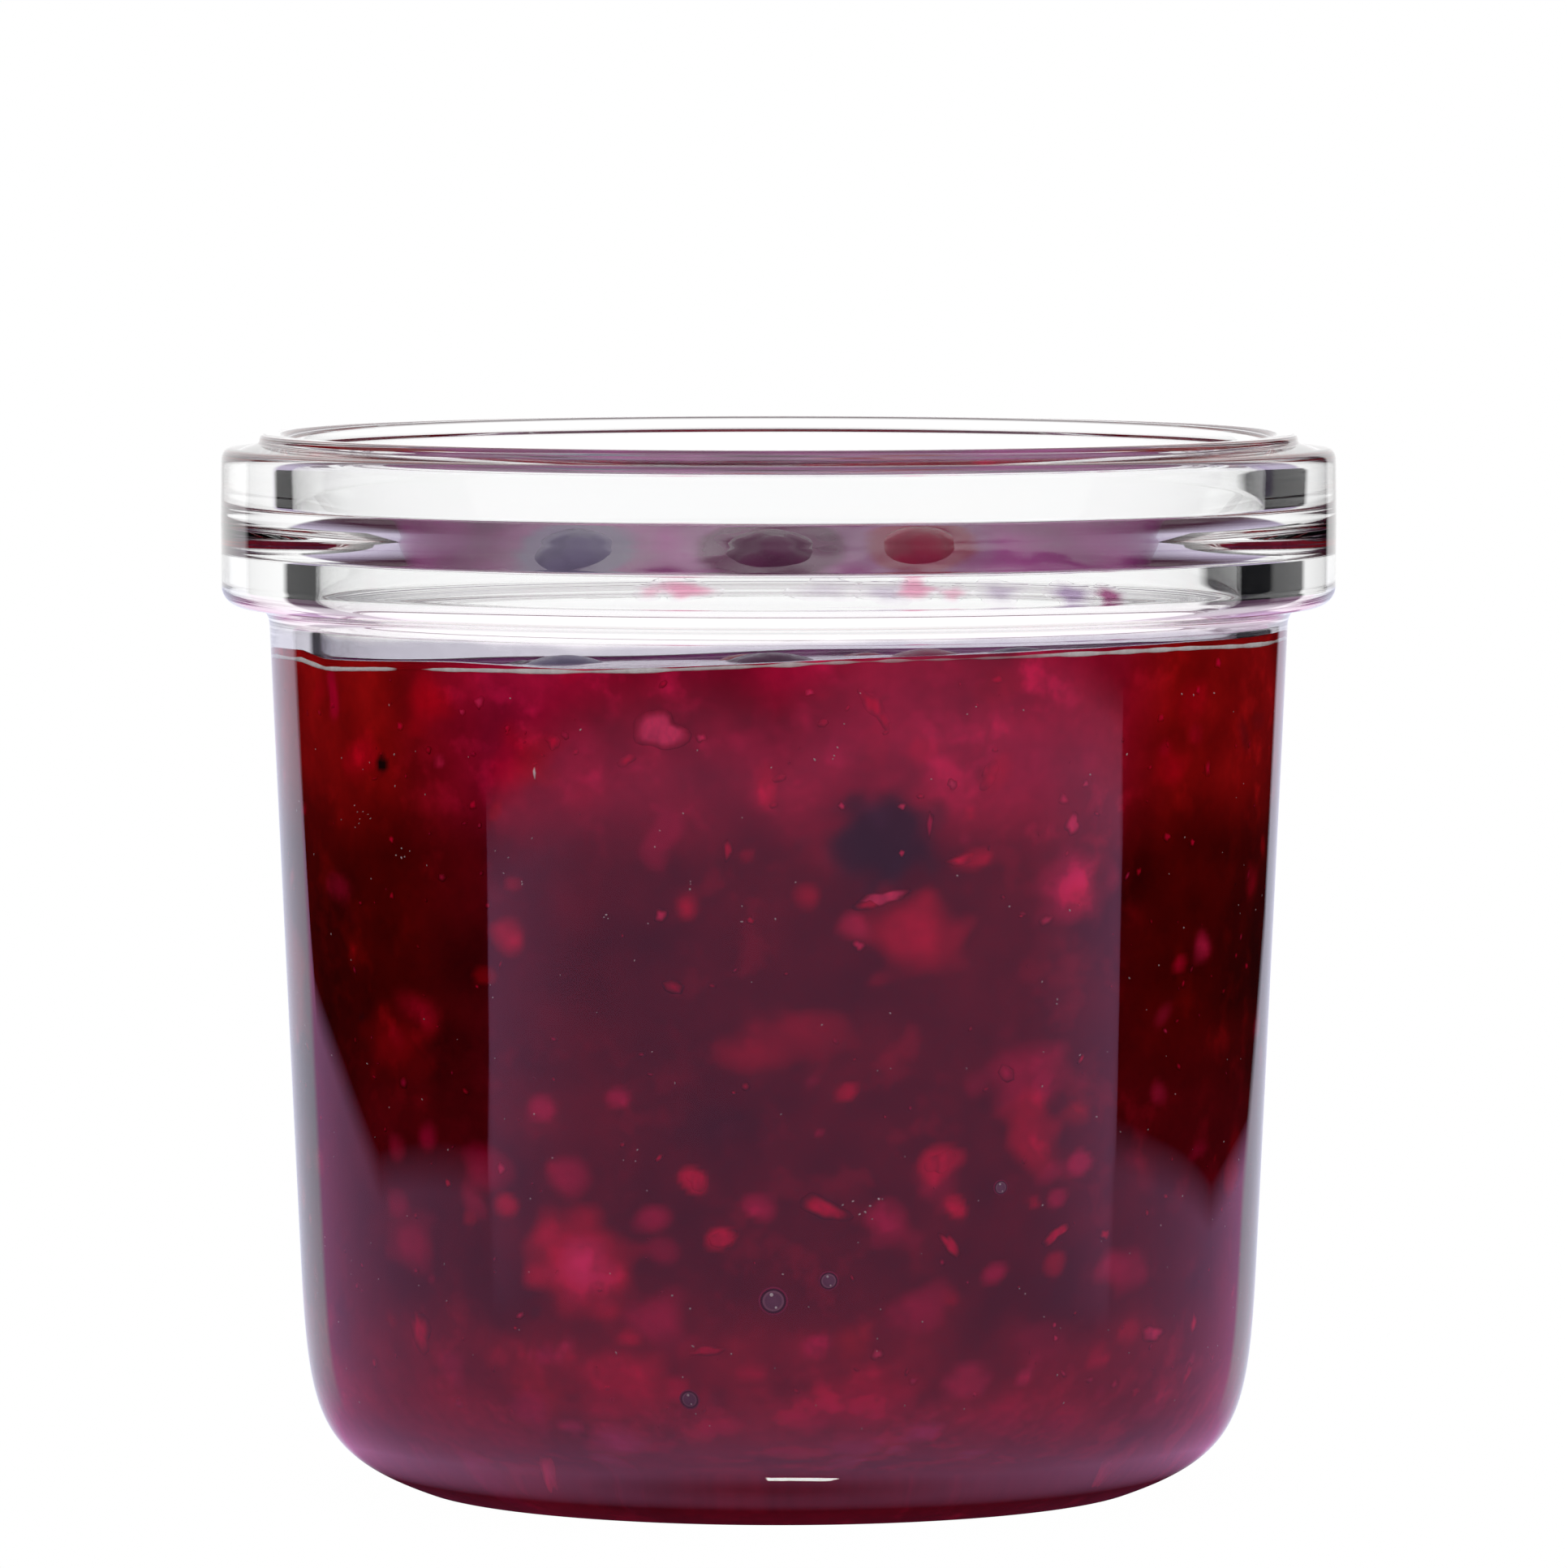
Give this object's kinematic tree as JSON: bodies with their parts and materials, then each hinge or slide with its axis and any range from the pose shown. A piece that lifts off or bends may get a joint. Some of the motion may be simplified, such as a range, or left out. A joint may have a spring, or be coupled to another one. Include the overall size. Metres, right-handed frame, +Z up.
{
  "type": "clip top jar",
  "caption": "Short, wide food jar of thick clear glass with a heavy clip rim and stepped mouth, open and filled with berry jam almost to its neck.",
  "frame": {"origin": "centre of the jar's foot, on the surface that it stands on", "axes": "+Z up along the jar's axis, out of its mouth; -Y towards the side shown; +X to the right of that side"},
  "size_m": [0.0864, 0.0864, 0.0817],
  "materials": {
    "clear_glass": "clear, glossy pressed glass",
    "berry_jam": "glossy, wet, dark red jam with pulp and seeds",
    "red_berry": "glossy, wet red berry skin",
    "dark_berry": "glossy, wet blue black berry skin"
  },
  "bodies": {
    "root": {"jar": "clear_glass", "jam": "berry_jam", "berry_red": "red_berry", "berry_slate": "dark_berry", "berry_dark": "dark_berry", "berry_back_left": "dark_berry", "berry_back_mid": "red_berry", "berry_back_right": "dark_berry", "berry_middle": "red_berry"}
  },
  "joints": []
}
